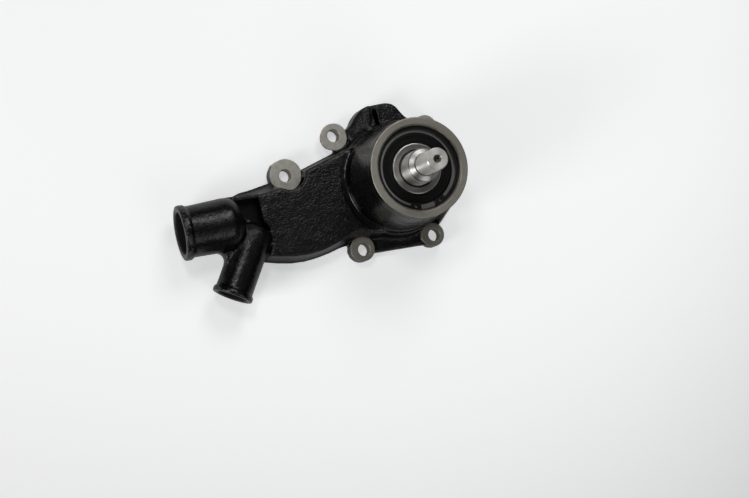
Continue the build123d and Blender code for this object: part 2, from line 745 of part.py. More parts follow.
os.makedirs("parts", exist_ok=True)
write("pump_body", pump_body())
write("shaft", shaft())
write("bearing_circlip", circlip())
write("bearing_spacer", spacer())
for where, low in (("front", front_bearing_z), ("rear", rear_bearing_z)):
    write(f"{where}_bearing_outer_ring", outer_ring(low))
    write(f"{where}_bearing_inner_ring", inner_ring(low))
    write(f"{where}_bearing_balls", balls(low))
    write(f"{where}_bearing_cage", ball_cage(low))
    write(f"{where}_bearing_front_seal", bearing_shield(low, True))
    write(f"{where}_bearing_rear_seal", bearing_shield(low, False))
write("water_slinger", slinger())
write("seal_case", seal_case())
write("seal_bellows", seal_bellows())
write("seal_spring", seal_spring())
write("seal_carbon_ring", carbon_ring())
write("seal_seat", seal_seat())
write("seal_seat_cup", seat_cup())
write("impeller", impeller())
write("rear_gasket", rear_gasket())
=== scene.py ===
import json
import math

import bpy
import numpy as np
from mathutils import Matrix, Vector


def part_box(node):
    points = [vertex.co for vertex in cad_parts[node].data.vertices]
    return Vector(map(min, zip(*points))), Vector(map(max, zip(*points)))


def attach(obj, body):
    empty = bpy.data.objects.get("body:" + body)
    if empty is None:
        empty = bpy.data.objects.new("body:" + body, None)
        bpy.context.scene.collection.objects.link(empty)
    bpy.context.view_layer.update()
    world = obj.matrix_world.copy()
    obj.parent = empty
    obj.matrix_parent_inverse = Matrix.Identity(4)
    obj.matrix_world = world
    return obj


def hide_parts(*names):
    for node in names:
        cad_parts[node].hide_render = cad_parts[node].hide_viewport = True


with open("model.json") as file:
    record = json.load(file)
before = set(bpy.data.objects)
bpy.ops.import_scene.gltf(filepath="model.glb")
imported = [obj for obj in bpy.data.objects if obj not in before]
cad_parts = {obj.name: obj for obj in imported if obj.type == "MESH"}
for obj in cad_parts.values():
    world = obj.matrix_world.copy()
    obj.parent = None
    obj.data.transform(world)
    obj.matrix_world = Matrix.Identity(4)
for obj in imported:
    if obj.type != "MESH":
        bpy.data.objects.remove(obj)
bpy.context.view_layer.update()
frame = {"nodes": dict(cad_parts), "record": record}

nodes = frame["nodes"]
mm = 0.001
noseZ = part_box("pump_body")[1].z / mm       # ring face, mm above the joint face
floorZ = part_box("rear_gasket")[0].z / mm
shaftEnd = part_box("shaft")[1].z / mm
clipZ = noseZ - 5.7     # lower side of the circlip groove, where the front bearing ends
boreR = 31.02           # bearing bore in the nose
padZ = 9.5              # faced top of the ears
holeR = 4.75            # hole drilled through each ear
mounts = {m["name"]: m for m in frame["record"]["mounts"]}
earHoles = {name.removesuffix("_ear_hole"): np.array(m["pos_m"]) / mm
            for name, m in mounts.items() if name.endswith("_ear_hole")}
pads = {    # radius of each ear's round pad and its shift from the hole
    "far": (12.3, 0.4, 0.2), "upper_left": (10.5, 0.2, -1.0), "lower_left": (9.6, -1.0, 0.9),
    "lower_right": (9.2, -1.2, 0.5), "upper_right": (9.4, 0.0, 0.0),
}
print("frame:", len(nodes), "nodes, ring face at", round(noseZ, 1), "mm")


# a wire is linked into the slot, a plain value is set on it
def plug(tree, slot, value):
    if isinstance(value, Wire):
        tree.links.new(value.socket, slot)
    else:
        slot.default_value = value


# one shader socket; arithmetic on it adds Math nodes
class Wire:
    def __init__(self, tree, socket):
        self.tree, self.socket = tree, socket

    def calc(self, operation, *values):
        node = self.tree.nodes.new("ShaderNodeMath")
        node.operation = operation
        for slot, value in zip(node.inputs, values):
            plug(self.tree, slot, value)
        return Wire(self.tree, node.outputs[0])

    def __add__(self, other):
        return self.calc("ADD", self, other)

    def __sub__(self, other):
        return self.calc("SUBTRACT", self, other)

    def __rsub__(self, other):
        return self.calc("SUBTRACT", other, self)

    def __mul__(self, other):
        return self.calc("MULTIPLY", self, other)

    __radd__, __rmul__ = __add__, __mul__

    def root(self):
        return self.calc("SQRT", self)

    def size(self):
        return self.calc("ABSOLUTE", self)

    def wave(self):
        return self.calc("SINE", self)

    def most(self, other):
        return self.calc("MAXIMUM", self, other)

    def least(self, other):
        return self.calc("MINIMUM", self, other)


# one material: a Principled shader and the wires that feed it, in millimetres
class Finish:
    def __init__(self, name, **fixed):
        self.material = bpy.data.materials.new(name)
        self.material.use_nodes = True
        self.tree = self.material.node_tree
        self.tree.nodes.clear()
        out = self.tree.nodes.new("ShaderNodeOutputMaterial")
        self.shader = self.tree.nodes.new("ShaderNodeBsdfPrincipled")
        self.tree.links.new(self.shader.outputs[0], out.inputs["Surface"])
        for key, value in fixed.items():
            self.shader.inputs[key.replace("_", " ")].default_value = value
        self.spot = self.make("ShaderNodeVectorMath", {"operation": "SCALE"},
                              {0: self.make("ShaderNodeTexCoord", output="Object"), "Scale": 1 / mm})
        self.x, self.y, self.z = (self.make("ShaderNodeSeparateXYZ", {}, {0: self.spot}, axis)
                                  for axis in range(3))
        self.radius = self.reach(0, 0)

    def make(self, kind, settings=None, values=None, output=0):
        node = self.tree.nodes.new(kind)
        for key, value in (settings or {}).items():
            setattr(node, key, value)
        for key, value in (values or {}).items():
            plug(self.tree, node.inputs[key], value)
        return Wire(self.tree, node.outputs[output])

    def noise(self, size, detail=2.0, at=None):     # cloud between 0 and 1 with lumps of this size
        values = {"Vector": at or self.spot, "Scale": 1 / size, "Detail": detail}
        return self.make("ShaderNodeTexNoise", {}, values)

    def cells(self, size):  # distance to the nearest of many scattered points, in cell sizes
        return self.make("ShaderNodeTexVoronoi", {}, {"Vector": self.spot, "Scale": 1 / size})

    def grooves(self, size):    # turning marks: a cloud that changes only with the radius and the height
        return self.noise(size, at=self.join(self.radius, self.z, 0.0))

    def ease(self, value, low, high):   # 0 at low, 1 at high, eased between
        return self.make("ShaderNodeMapRange", {"interpolation_type": "SMOOTHSTEP"},
                         {"Value": value, "From Min": low, "From Max": high})

    def inside(self, *sides):   # product of eased sides, each an axis with the places of its 0 and its 1
        mask = 1.0
        for axis, low, high in sides:
            mask = self.ease(getattr(self, axis), low, high) * mask
        return mask

    def reach(self, x, y):      # distance from an upright line
        dx, dy = self.x - x, self.y - y
        return (dx * dx + dy * dy).root()

    def join(self, x, y, z):
        return self.make("ShaderNodeCombineXYZ", {}, {0: x, 1: y, 2: z})

    def blend(self, mask, first, second):   # first colour where the mask is 0, second where it is 1
        first, second = (c if isinstance(c, Wire) else (*c, 1.0) for c in (first, second))
        return self.make("ShaderNodeMix", {"data_type": "RGBA"}, {0: mask, 6: first, 7: second}, 2)

    def bump(self, height):     # height in millimetres
        return self.make("ShaderNodeBump", {}, {"Height": height, "Distance": mm, "Strength": 1.0})

    def feed(self, **wires):
        for key, value in wires.items():
            plug(self.tree, self.shader.inputs[key.replace("_", " ")], value)
        return self.material


# one material on every face
def dress(obj, material):
    obj.data.materials.clear()
    obj.data.materials.append(material)
    obj.data.polygons.foreach_set("material_index", np.zeros(len(obj.data.polygons), np.int32))


# distance inwards along a spigot's axis from its mount, p.a; takes wires as well as arrays
def spigotDepth(x, y, name):
    at, axis = mounts[name]["pos_m"], mounts[name]["axis"]
    return (x - at[0] / mm) * -axis[0] + (y - at[1] / mm) * -axis[1]


# distance from a spigot's axis, root(side^2 + height^2)
def spigotRadius(f, name):
    at, axis = mounts[name]["pos_m"], mounts[name]["axis"]
    side = (f.x - at[0] / mm) * axis[1] - (f.y - at[1] / mm) * axis[0]
    height = f.z - at[2] / mm
    return (side * side + height * height).root()


castPaint = {
    "paint": (0.0014, 0.0014, 0.0014), "dust": (0.0060, 0.0057, 0.0050),
    "iron": (0.47, 0.455, 0.395), "ironDark": (0.31, 0.29, 0.24), "pit": (0.08, 0.07, 0.055),
    "bore": (0.17, 0.145, 0.115), "rust": (0.0018, 0.0015, 0.0012), "speck": (0.050, 0.042, 0.034),
    "wearAndSheen": (0.080, 0.077, 0.070),
    "grain": 1.15, "grainHeight": 0.32, "pebble": 1.5, "pebbleHeight": 0.15, "swell": 9, "swellHeight": 0.5,
    "turning": 0.022, "paintRough": 0.19, "ironRough": 0.36, "boreRough": 0.9,
}
castMarks = {   # where each mark is 0 and where it is 1, in mm
    "ring": ("z", noseZ - 0.45, noseZ - 0.3), "hole": (5.3, 5.1),
    "joint": [("z", 0.3, 0.15), ("x", -62, -60)],
    "noseBore": [("radius", boreR + 1.25, boreR + 1.1), ("z", 20, 24)],
    "boreShade": (noseZ - 0.9, noseZ - 2.2),
    "barrel": [("radius", 45.5, 43.5), ("z", 19, 21.5)],
    "pocket": [("x", -131, -127), ("x", -108.6, -109.6), ("y", -27, -20), ("y", 8, 6), ("z", 20.5, 17)],
    "ledgeAt": (42.2, 20.4), "ledge": (1.1, 0.5),   # radius and height of the step round the barrel's foot
    "paintedShadeSlope": 0.35, "paintedShade": (2, 36), "paintedShadeTop": (60, 62),
}
spigotMarks = {     # the same for each spigot, by radius and, at its ends, by depth from its mount
    "main_spigot": {"bore": (15.9, 15.5), "boreEnd": (43, 39), "tube": (21.8, 20.9), "tubeEnd": (45, 35),
                    "bead": (19.6, 20.3), "beadEnd": (3.2, 2.4), "beadStart": (-3.2, -2.4),
                    "rimInner": (15.4, 15.9), "rimOuter": (17.6, 16.8), "rimEnd": (-1.4, -1.9)},
    "bypass_spigot": {"bore": (11.4, 11.0), "boreEnd": (34, 30), "tube": (16.2, 15.6), "tubeEnd": (46, 36),
                      "bead": (14.2, 15.0), "beadEnd": (2.2, 1.4), "beadStart": (-1.5, -1.2)},
}


# masks of the spigots' rough bores, of their tubes and of their beads, paler with wear and a painted
# highlight, each the most of both spigots
def spigotMasks(f):
    bore = tube = bead = f.x * 0.0
    for name, s in spigotMarks.items():
        depth, radius = spigotDepth(f.x, f.y, name), spigotRadius(f, name)
        bore = bore.most(f.ease(radius, *s["bore"]) * f.ease(depth, *s["boreEnd"]))
        tube = tube.most(f.ease(radius, *s["tube"]) * f.ease(depth, *s["tubeEnd"]))
        band = f.ease(depth, *s["beadEnd"]) * f.ease(depth, *s["beadStart"])
        bead = bead.most(f.ease(radius, *s["bead"]) * band)
        if "rimEnd" in s:
            rim = f.ease(radius, *s["rimInner"]) * f.ease(radius, *s["rimOuter"])
            bead = bead.most(rim * f.ease(depth, *s["rimEnd"]))
    return bore, tube, bead


# black paint over sand-cast iron; bare where it was machined, rough and dark inside the spigots
def castingFinish():
    s, m = castPaint, castMarks
    f = Finish("black paint on cast iron", Specular_IOR_Level=0.42)
    noseBore = f.inside(*m["noseBore"])
    bare = f.inside(m["ring"]).most(noseBore).most(f.inside(*m["joint"]))
    for hole in earHoles.values():
        bare = bare.most(f.ease(f.reach(*hole[:2]), *m["hole"]))
    bore, tube, bead = spigotMasks(f)
    across, above = f.radius - m["ledgeAt"][0], f.z - m["ledgeAt"][1]
    ledge = f.ease((across * across + above * above).root(), *m["ledge"])
    creep = (f.noise(1.6, 3) - 0.5) * 0.5
    # paler grey on the spigot beads, the main mouth's rim and the ledge round the barrel's foot: partly worn
    # paint, partly a painted highlight along these edges
    wearAndSheen = (bead * 0.7).most(ledge * 0.5) * f.ease(f.noise(2.6, 3) + creep, 0.50, 0.68)

    coarse = (1 - f.inside(*m["barrel"]) * 0.86) * (1 - tube * 0.5)     # less on the barrel and the tubes
    stones = 1 - f.cells(s["pebble"]).least(0.7) * 1.4
    turned = f.noise(0.7, at=f.join(f.radius * 1.6, f.z * 0.6, 0.0))
    moulded = (f.noise(s["grain"]) * s["grainHeight"] + stones * s["pebbleHeight"]) * coarse
    moulded = moulded + f.noise(s["swell"], 1) * s["swellHeight"]
    machined = (turned + f.noise(0.9)) * s["turning"]
    height = moulded * (1 - bare) + machined * bare

    dusty = f.ease(f.noise(12, 4), 0.50, 0.75) * 0.45 + f.ease(stones, 0.55, 0.9) * 0.30 * coarse
    colour = f.blend(wearAndSheen, f.blend(dusty, s["paint"], s["dust"]), s["wearAndSheen"])
    stain = f.ease(f.noise(6, 4), 0.40, 0.75)
    metal = f.blend(stain * 0.55, s["iron"], s["ironDark"])
    pits = f.ease(f.cells(1.7), 0.16, 0.07) * f.ease(f.noise(4), 0.42, 0.6)
    metal = f.blend(pits, metal, s["pit"])
    metal = f.blend(f.ease(f.z, *m["boreShade"]) * noseBore, metal, s["bore"])
    # the ring face turns darker towards its top, +y and a little +x: painted shade
    paintedShade = f.ease(f.x * m["paintedShadeSlope"] + f.y, *m["paintedShade"]) * f.ease(f.z, *m["paintedShadeTop"])
    metal = f.blend(paintedShade * 0.5, metal, s["ironDark"])
    colour = f.blend(bare, colour, metal)
    speck = f.ease(f.noise(1.3, 3), 0.60, 0.68) * f.ease(f.noise(7), 0.45, 0.6)
    colour = f.blend(bore * 0.95, colour, f.blend(speck, s["rust"], s["speck"]))

    painted = s["paintRough"] + f.noise(4, 3) * 0.12 + coarse * 0.05
    roughness = painted * (1 - bare) + (s["ironRough"] + stain * 0.10 + turned * 0.08) * bare
    dull = bore.most(f.inside(*m["pocket"]))
    roughness = roughness * (1 - dull) + dull * s["boreRough"]
    return f.feed(Base_Color=colour, Roughness=roughness, Metallic=bare * 0.85, Normal=f.bump(height))


# one closed mesh from the CAD node's loose triangles: corners that round to the same step become one
def joinedCopy(node):
    source = nodes[node].data
    points = np.empty(len(source.vertices) * 3)
    source.vertices.foreach_get("co", points)
    corners = np.empty(len(source.loops), np.int64)
    source.loops.foreach_get("vertex_index", corners)
    step = 0.002 * mm
    keys = np.round(points.reshape(-1, 3) / step).astype(np.int64)
    keys, index = np.unique(keys, axis=0, return_inverse=True)
    faces = index.ravel()[corners].reshape(-1, 3)
    whole = (faces[:, 0] != faces[:, 1]) & (faces[:, 1] != faces[:, 2]) & (faces[:, 0] != faces[:, 2])
    mesh = bpy.data.meshes.new(node + "Joined")
    mesh.from_pydata(keys * step, [], faces[whole])
    return mesh


# the object's mesh with its modifiers applied
def baked(obj, name):
    mesh = bpy.data.meshes.new_from_object(obj.evaluated_get(bpy.context.evaluated_depsgraph_get()))
    mesh.name = name
    return mesh


# each point's mean of its neighbours, sum over its edges divided by their count, column by column
def neighbourMean(values, edges, counts):
    total = np.zeros_like(values)
    for a, b in ((0, 1), (1, 0)):
        for k in range(values.shape[1]):
            total[:, k] += np.bincount(edges[:, a], values[edges[:, b], k], len(values))
    return total / counts[:, None]


# distance in plan from the segment between two places: |p - start - t d| with t held between 0 and 1
def fromBar(x, y, start, end):
    dx, dy = end[0] - start[0], end[1] - start[1]
    t = np.clip(((x - start[0]) * dx + (y - start[1]) * dy) / (dx * dx + dy * dy), 0, 1)
    return np.hypot(x - start[0] - t * dx, y - start[1] - t * dy)


castBody = {
    "voxel": 0.62, "steps": 26, "triangles": 190000,
    "flangeTop": 4.2, "flange": 0.45,                           # up to this height, and how soft it is there
    "wheelRoom": (42, 11), "wheel": 0.1,                        # radius and height of the impeller's room
    "bearingRoom": (34, 20), "faceFrom": 30, "face": 1.0,       # the nose from its bore to its edge
    "joint": 0.6, "ear": 6, "padRoom": (0.8, 0.4),              # the pads' room in height and in reach
    "beads": 0.2, "mainBead": (6, 22), "bypassBead": 6, "bypassCorner": (-110, -45),
    "ribWidth": 2.2, "rib": 0.25,       # rims of the hollow between the spigots, and the lug's rib
    "ribs": [((-126.0, -5.5), (-110.6, -17.0), 14.5), ((-110.6, -17.0), (-103.5, -27.0), 14.5),
             ((-131.0, 8.4), (-109.0, 6.5), 14.5), ((-2.8, 56.6), (-1.0, 36.0), 10.0)],
    "jointSnap": 0.3, "padSnap": (0.35, 0.3), "holeSnap": 0.45, "holeEnds": 0.2,
    "boreSnap": 1.2, "boreFrom": 22, "faceSnap": 1.2,           # how near a point counts as on that face
    "padGap": 0.12, "ringGap": 0.3, "ringDrop": 0.4,            # room left under the turned and faced pieces
    "ringDepth": 6.5, "ringFade": 1.5,
}


# 0 where the casting is machined and stays sharp, 1 where it was cast and turns soft
def castSoftness(points):
    s = castBody
    x, y, z = points.T
    radius = np.hypot(x, y)
    free = np.ones(len(points))
    free[z < s["flangeTop"]] = s["flange"]
    for start, end, foot in s["ribs"]:
        free[(fromBar(x, y, start, end) < s["ribWidth"]) & (z > foot)] = s["rib"]
    free[(z > noseZ - s["face"]) & (radius > s["faceFrom"])] = 0
    free[(radius < s["bearingRoom"][0]) & (z > s["bearingRoom"][1])] = 0
    free[z < s["joint"]] = 0
    free[(radius < s["wheelRoom"][0]) & (z < s["wheelRoom"][1])] = s["wheel"]
    for name, hole in earHoles.items():
        reach, dx, dy = pads[name]
        away = np.hypot(x - hole[0] - dx, y - hole[1] - dy)
        free[(np.abs(z - padZ) < s["padRoom"][0]) & (away < reach + s["padRoom"][1])] = 0
        free[np.hypot(x - hole[0], y - hole[1]) < s["ear"]] = 0
    mainEnd, mainHalf = s["mainBead"]
    mainY = mounts["main_spigot"]["pos_m"][1] / mm
    free[(spigotDepth(x, y, "main_spigot") < mainEnd) & (np.abs(y - mainY) < mainHalf)] = s["beads"]
    right, top = s["bypassCorner"]
    free[(spigotDepth(x, y, "bypass_spigot") < s["bypassBead"]) & (x < right) & (y < top)] = s["beads"]
    return free


# machined faces are made flat again, hole walls round, and the nose is drawn in under its turned ring
def castTrue(points):
    s = castBody
    x, y, z = points.T
    radius = np.hypot(x, y)
    for name, hole in earHoles.items():
        reach, dx, dy = pads[name]
        flat = np.hypot(x - hole[0] - dx, y - hole[1] - dy) < reach + s["padSnap"][1]
        points[flat & (np.abs(z - padZ) < s["padSnap"][0]), 2] = padZ - s["padGap"]
        away = np.hypot(x - hole[0], y - hole[1])
        wall = (np.abs(away - holeR) < s["holeSnap"]) & (z > s["holeEnds"]) & (z < padZ - s["holeEnds"])
        points[wall, :2] = hole[:2] + (points[wall, :2] - hole[:2]) * (holeR / away[wall])[:, None]
    points[np.abs(z) < s["jointSnap"], 2] = 0
    inset = np.zeros(len(points))       # outwards in the bore, inwards round the nose
    outside = (radius > s["bearingRoom"][0]) & (z > noseZ - s["ringDepth"])
    inset[outside] = -s["ringGap"] * np.clip((z[outside] - noseZ + s["ringDepth"]) / s["ringFade"], 0, 1)
    inset[(np.abs(radius - boreR) < s["boreSnap"]) & (z > s["boreFrom"])] = s["ringGap"]
    points[:, :2] *= (1 + inset / np.maximum(radius, 1))[:, None]
    points[(z > noseZ - s["faceSnap"]) & (radius > s["faceFrom"]), 2] -= s["ringDrop"]
    return points


# voxel remesh, each free point drawn halfway to its neighbours' mean, p += free (mean - p) / 2, then thinned
def softCast(name, node, shape, softness, trueFaces):
    obj = bpy.data.objects.new(name, joinedCopy(node))
    bpy.context.scene.collection.objects.link(obj)
    remesh = obj.modifiers.new("remesh", "REMESH")
    remesh.mode, remesh.voxel_size = "VOXEL", shape["voxel"] * mm
    mesh = baked(obj, name)
    obj.modifiers.clear()
    points = np.empty(len(mesh.vertices) * 3)
    mesh.vertices.foreach_get("co", points)
    points = points.reshape(-1, 3) / mm
    low, high = points.min(0), points.max(0)
    edges = np.empty(len(mesh.edges) * 2, np.int64)
    mesh.edges.foreach_get("vertices", edges)
    edges = edges.reshape(-1, 2)
    counts = np.maximum(np.bincount(edges.ravel(), minlength=len(points)), 1).astype(float)
    free = softness(points)[:, None]
    for _ in range(3):      # the softness fades towards sharp places
        free = np.minimum(free, 0.5 * (free + neighbourMean(free, edges, counts)))
    for _ in range(shape["steps"]):
        points += free * 0.5 * (neighbourMean(points, edges, counts) - points)
    points = np.clip(trueFaces(points), low, high)
    mesh.vertices.foreach_set("co", (points * mm).ravel())
    mesh.update()
    obj.data = mesh
    thin = obj.modifiers.new("thin", "DECIMATE")
    thin.ratio = min(1.0, shape["triangles"] / (2 * len(mesh.polygons)))
    obj.data = baked(obj, name)
    obj.modifiers.clear()
    obj.data.polygons.foreach_set("use_smooth", np.ones(len(obj.data.polygons), bool))
    print(name + ":", len(points), "points,", len(obj.data.polygons), "faces")
    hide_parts(node)
    return obj


castIron = castingFinish()
body = softCast("castBody", "pump_body", castBody, castSoftness, castTrue)
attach(body, "pump_housing")
dress(body, castIron)


impellerShape = {"voxel": 0.55, "steps": 8, "triangles": 90000, "hub": 17.5}


# the turned hub stays sharp, the cast vanes turn soft
def impellerSoftness(points):
    return np.where(np.hypot(points[:, 0], points[:, 1]) < impellerShape["hub"], 0.0, 1.0)


wheel = softCast("castImpeller", "impeller", impellerShape, impellerSoftness, lambda points: points)
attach(wheel, "rotor")
print("castings done")


# an object of points in millimetres, shaded smooth and dressed
def smoothPiece(name, points, faces, material):
    mesh = bpy.data.meshes.new(name)
    mesh.from_pydata(points * mm, [], faces)
    mesh.polygons.foreach_set("use_smooth", np.ones(len(mesh.polygons), bool))
    obj = bpy.data.objects.new(name, mesh)
    bpy.context.scene.collection.objects.link(obj)
    dress(obj, material)
    return obj


# four-sided faces between neighbouring rings of points; a closed profile joins its last ring to its first
def bandFaces(rings, steps, closed=True):
    row, col = np.arange(rings if closed else rings - 1)[:, None] * steps, np.arange(steps)[None, :]
    nextRow, nextCol = (row + steps) % (rings * steps), (col + 1) % steps
    faces = np.stack([row + col, row + nextCol, nextRow + nextCol, nextRow + col], 2)
    return faces.reshape(-1, 4).tolist()


profile = {"arcPoints": 6, "largestShare": 0.45, "guard": 1.15}     # guard points keep flats shaded flat


# corners of a profile, each radius, height and rounding: cut back by the rounding along both sides, to a and
# b, then joined as (1-t)^2 a + 2t(1-t) p + t^2 b
def rounded(corners, closed):
    out = []
    for i, corner in enumerate(corners):
        p = np.array(corner[:2], float)
        if len(corner) < 3 or (not closed and i in (0, len(corners) - 1)):
            out.append(p)
            continue
        before, after = (np.array(corners[j % len(corners)][:2], float) - p for j in (i - 1, i + 1))
        lengths = np.linalg.norm(before), np.linalg.norm(after)
        cut = min(corner[2], profile["largestShare"] * min(lengths))
        toBefore, toAfter = before / lengths[0] * cut, after / lengths[1] * cut
        t = np.linspace(0, 1, profile["arcPoints"])[:, None]
        arc = (1 - t) ** 2 * (p + toBefore) + 2 * t * (1 - t) * p + t ** 2 * (p + toAfter)
        out.extend([p + toBefore * profile["guard"], *arc, p + toAfter * profile["guard"]])
    return np.array(out)


# profile of radius and height turned round the shaft: x = r cos a, y = r sin a; ends at r = 0 close as fans
def lathe(name, corners, node, part, material, steps=160):
    closed = corners[0][0] > 0
    outline = rounded(corners, closed)
    angles = np.linspace(0, 2 * math.pi, steps, endpoint=False)
    ring = outline if closed else outline[1:-1]
    r, z = ring[:, :1], ring[:, 1:]
    points = np.stack([r * np.cos(angles), r * np.sin(angles), np.broadcast_to(z, (len(ring), steps))], 2)
    points = points.reshape(-1, 3)
    faces = bandFaces(len(ring), steps, closed)
    if not closed:
        first, last, base = len(points), len(points) + 1, (len(ring) - 1) * steps
        points = np.vstack([points, [0, 0, outline[0, 1]], [0, 0, outline[-1, 1]]])
        around = np.arange(steps)
        beside = (around + 1) % steps
        faces += [[first, b, a] for a, b in zip(around, beside)]
        faces += [[last, base + a, base + b] for a, b in zip(around, beside)]
    upward = sum(p[0] * q[1] - q[0] * p[1] for p, q in zip(outline, np.roll(outline, -1, 0))) > 0
    if not upward:
        faces = [face[::-1] for face in faces]
    obj = smoothPiece(name, points, faces, material)
    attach(obj, part)
    if node:
        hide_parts(node)


# ground or turned steel: marks follow the radius and the height, clouds darken and dull it
def steelFinish(name, colour, rough):
    f = Finish(name, Metallic=1.0)
    lines, cloud = f.grooves(0.35), f.noise(7, 3)
    shade = f.blend(cloud * 0.5, colour, tuple(c * 0.6 for c in colour))
    return f.feed(Base_Color=shade, Roughness=rough + lines * 0.10 + cloud * 0.06,
                  Normal=f.bump(lines * 0.005))


rubberLook = {"black": (0.0020, 0.0020, 0.0020), "dusty": (0.0045, 0.0043, 0.0040),
              "rough": 0.42, "ribs": 1.1}


# moulded rings: sine of the radius, one wave to each rib
def rubberFinish():
    f = Finish("black seal rubber", Specular_IOR_Level=0.16)
    grain = f.noise(0.5, 3)
    colour = f.blend(f.noise(4, 4), rubberLook["black"], rubberLook["dusty"])
    rings = (f.radius * (2 * math.pi / rubberLook["ribs"])).wave()
    return f.feed(Base_Color=colour, Roughness=rubberLook["rough"] + grain * 0.2,
                  Normal=f.bump(rings * 0.012 + grain * 0.02))


gasketLook = {"sheet": (0.60, 0.185, 0.085), "fibre": (0.50, 0.135, 0.06), "rough": 0.75, "fibreSize": 1.2}


# pressed fibre sheet: a cloud drawn out along one way of the sheet
def gasketFinish():
    f = Finish("orange gasket sheet")
    fibres = f.noise(gasketLook["fibreSize"], 4, at=f.join(f.x, f.y * 2.5, f.z))
    colour = f.blend(fibres, gasketLook["sheet"], gasketLook["fibre"])
    return f.feed(Base_Color=colour, Roughness=gasketLook["rough"] + fibres * 0.15,
                  Normal=f.bump(fibres * 0.03))


wheelLook = {"iron": (0.20, 0.19, 0.175), "dark": (0.12, 0.11, 0.095), "rust": (0.10, 0.05, 0.028),
             "rough": 0.45}


# unpainted iron of the impeller, with patches of rust
def bareIronFinish():
    f = Finish("bare cast iron", Metallic=0.7)
    grain = f.noise(1.1, 3)
    rust = f.ease(f.noise(7, 5), 0.5, 0.72)
    colour = f.blend(f.noise(3, 4), wheelLook["iron"], wheelLook["dark"])
    colour = f.blend(rust * 0.6, colour, wheelLook["rust"])
    return f.feed(Base_Color=colour, Roughness=wheelLook["rough"] + grain * 0.25 + rust * 0.15,
                  Normal=f.bump(grain * 0.14))


# one colour with a soft cloud and a fine grain
def plainFinish(name, colour, rough, metal=0.0, grainSize=0.6):
    f = Finish(name, Metallic=metal)
    grain = f.noise(grainSize, 3)
    shade = f.blend(f.noise(5, 4), colour, tuple(c * 0.72 for c in colour))
    return f.feed(Base_Color=shade, Roughness=rough + grain * 0.12, Normal=f.bump(grain * 0.02))


shaftLook = {
    "steel": (0.93, 0.915, 0.87), "cloud": (0.66, 0.645, 0.60), "end": (0.72, 0.71, 0.66),
    "drill": (0.16, 0.155, 0.14), "shadow": (0.13, 0.125, 0.11), "rough": 0.36,
    "face": [("z", shaftEnd - 0.35, shaftEnd - 0.15)],
    "drillAt": [("radius", 3.1, 2.7), ("z", shaftEnd - 6, shaftEnd - 5.5)],
    "shadows": ((noseZ + 14.45, 0.75), (noseZ + 10.95, 0.45)),      # undercut, shoulder: height, half width
}


# ground shaft; its end face is duller, with the marks of the turning tool; its centre drill is painted dark
# as shade, and painted shadows lie at the undercut and the shoulder
def shaftFinish():
    s = shaftLook
    f = Finish("ground shaft steel", Metallic=1.0, Anisotropic=0.85, Anisotropic_Rotation=0.25)
    lines, cloud = f.grooves(0.5), f.noise(6, 3)
    face, drill = f.inside(*s["face"]), f.inside(*s["drillAt"])
    shade = f.blend(cloud * 0.2 + lines * 0.1, s["steel"], s["cloud"])
    shade = f.blend(face * 0.6, shade, s["end"])
    # the centre drill painted dark: painted shade in the recess
    shade = f.blend(drill, shade, s["drill"])
    for height, half in s["shadows"]:
        shade = f.blend(f.ease((f.z - height).size(), half, half * 0.6) * 0.75, shade, s["shadow"])
    rough = s["rough"] + lines * 0.12 + cloud * 0.04 + face * 0.12
    return f.feed(Base_Color=shade, Roughness=rough.most(drill * 0.5), Metallic=1 - face * 0.5,
                  Normal=f.bump(lines * 0.010))


innerRingLook = {
    "steel": (0.36, 0.355, 0.335), "cloud": (0.25, 0.245, 0.23), "rough": 0.24,
    # the next colour is a painted highlight at the outer edge, the one after it painted shade in the gap at
    # the shaft
    "edge": (0.68, 0.67, 0.64), "highlightFrom": (17.3, 18.1),
    "gapShade": (0.045, 0.043, 0.038), "gapShadeTo": (14.5, 13.9),
}


# inner ring of the front bearing: painted shade where it meets the shaft, a painted highlight at its outer
# edge
def innerRingFinish():
    s = innerRingLook
    f = Finish("inner ring steel", Metallic=1.0)
    lines = f.grooves(0.35)
    shade = f.blend(f.noise(6, 3) * 0.4, s["steel"], s["cloud"])
    # a painted highlight on the outer edge
    shade = f.blend(f.ease(f.radius, *s["highlightFrom"]), shade, s["edge"])
    # painted shade where the ring meets the shaft
    shade = f.blend(f.ease(f.radius, *s["gapShadeTo"]), shade, s["gapShade"])
    return f.feed(Base_Color=shade, Roughness=s["rough"] + lines * 0.12, Normal=f.bump(lines * 0.006))


bearingSteel = steelFinish("ground bearing steel", (0.52, 0.515, 0.49), 0.24)
# a darker copy of the bearing steel for the outer rings: painted shade
shadedBearingSteel = steelFinish("shaded bearing steel", (0.42, 0.41, 0.39), 0.26)
rubber = rubberFinish()
pressedSteel = plainFinish("bright pressed steel", (0.55, 0.54, 0.51), 0.30, 1.0)
finishes = {
    "bearing_spacer": bearingSteel, "seal_spring": pressedSteel, "rear_gasket": gasketFinish(),
    "bearing_circlip": plainFinish("black phosphate spring steel", (0.020, 0.020, 0.021), 0.34, 0.6, 0.9),
    "seal_case": plainFinish("pressed brass", (0.62, 0.44, 0.20), 0.30, 1.0),
    "seal_carbon_ring": plainFinish("lapped carbon", (0.025, 0.025, 0.027), 0.30),
    "seal_seat": plainFinish("lapped ceramic", (0.78, 0.76, 0.70), 0.20),
    "seal_bellows": rubber, "seal_seat_cup": rubber, "water_slinger": rubber,
}
bearingFinishes = {"outer_ring": shadedBearingSteel, "inner_ring": bearingSteel, "balls": bearingSteel,
                   "cage": pressedSteel, "front_seal": rubber, "rear_seal": rubber}
for end in ("front", "rear"):
    finishes.update({f"{end}_bearing_{piece}": material for piece, material in bearingFinishes.items()})
for name, material in finishes.items():
    dress(nodes[name], material)
dress(wheel, bareIronFinish())
print("finishes:", len(finishes), "nodes dressed")


noseRing = {
    "outer": 37.0, "draft": 3, "low": 56.0, "taper": 5, "chamfer": 1.2, "groove": 2.04, "grooveDepth": 1.48,
    "sunk": (6, 0.8), "foot": (0.9, 2.2), "steps": 220,     # the foot and the sunk edge lie in the casting
}


